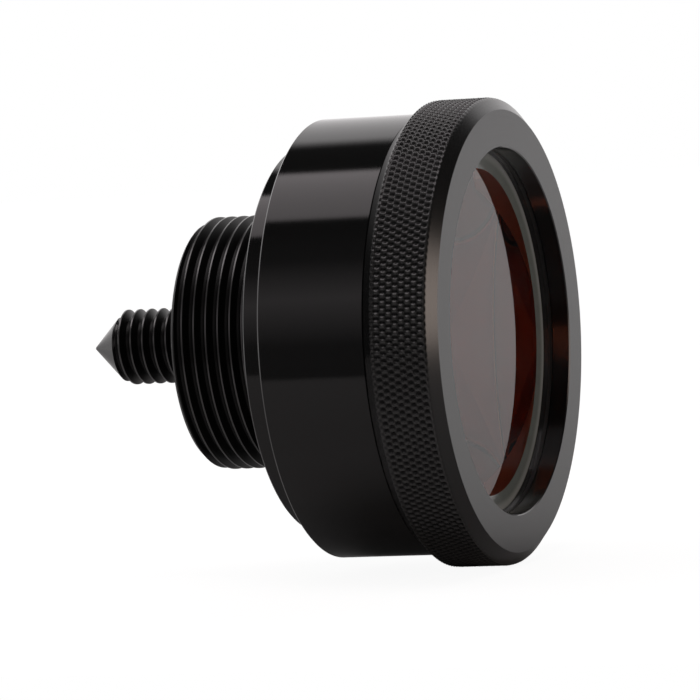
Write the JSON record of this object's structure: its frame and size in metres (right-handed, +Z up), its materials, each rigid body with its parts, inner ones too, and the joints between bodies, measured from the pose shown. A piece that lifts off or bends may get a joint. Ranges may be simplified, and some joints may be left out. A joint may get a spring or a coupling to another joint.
{
  "type": "survey prism",
  "caption": "Round survey prism: a glass corner cube in a black canister with a knurled retaining ring, a threaded mounting boss and a pointed stud.",
  "frame": {"origin": "on the optical axis, in the plane of the hub's rear seat, where the mounting boss starts", "axes": "+Y along the optical axis from the glass to the stud, +Z up, +X to the right seen from the front"},
  "size_m": [0.0364, 0.0352, 0.0364],
  "materials": {
    "anodised_ring": "black anodised, turned and knurled",
    "anodised_body": "black anodised, fine turning marks",
    "blackened_steel": "black oxide",
    "optical_glass": "polished",
    "copper_film": "evaporated copper mirror",
    "lacquer": "baked lacquer",
    "seal_silicone": "translucent grey silicone",
    "white_silicone": "silicone adhesive",
    "black_rubber": "matt",
    "black_acetal": "moulded"
  },
  "bodies": {
    "root": {"corner_prism": "optical_glass", "copper_coating": "copper_film", "protective_lacquer": "lacquer", "bonding_pads": "white_silicone", "centring_ring": "black_acetal", "rear_cushion": "black_rubber", "housing": "anodised_body", "ring_o_ring": "black_rubber", "rear_hub": "anodised_body", "hub_o_ring": "black_rubber", "pointed_stud": "blackened_steel"},
    "seal_carrier": {"slip_washer": "black_acetal", "front_seal": "seal_silicone"},
    "ring": {"retaining_ring": "anodised_ring"}
  },
  "joints": [
    {"name": "ring_travel", "type": "slide", "parent": "root", "child": "seal_carrier", "axis": [0, -1, 0], "range_m": [0, 0.0023]},
    {"name": "ring_turn", "type": "hinge", "parent": "seal_carrier", "child": "ring", "pos_m": [0, 0, 0], "axis": [0, -1, 0], "range_deg": [0, 1080]}
  ],
  "couplings": [
    {"joint": "ring_travel", "follows": "ring_turn", "m_per_rad": 0.00011937}
  ]
}
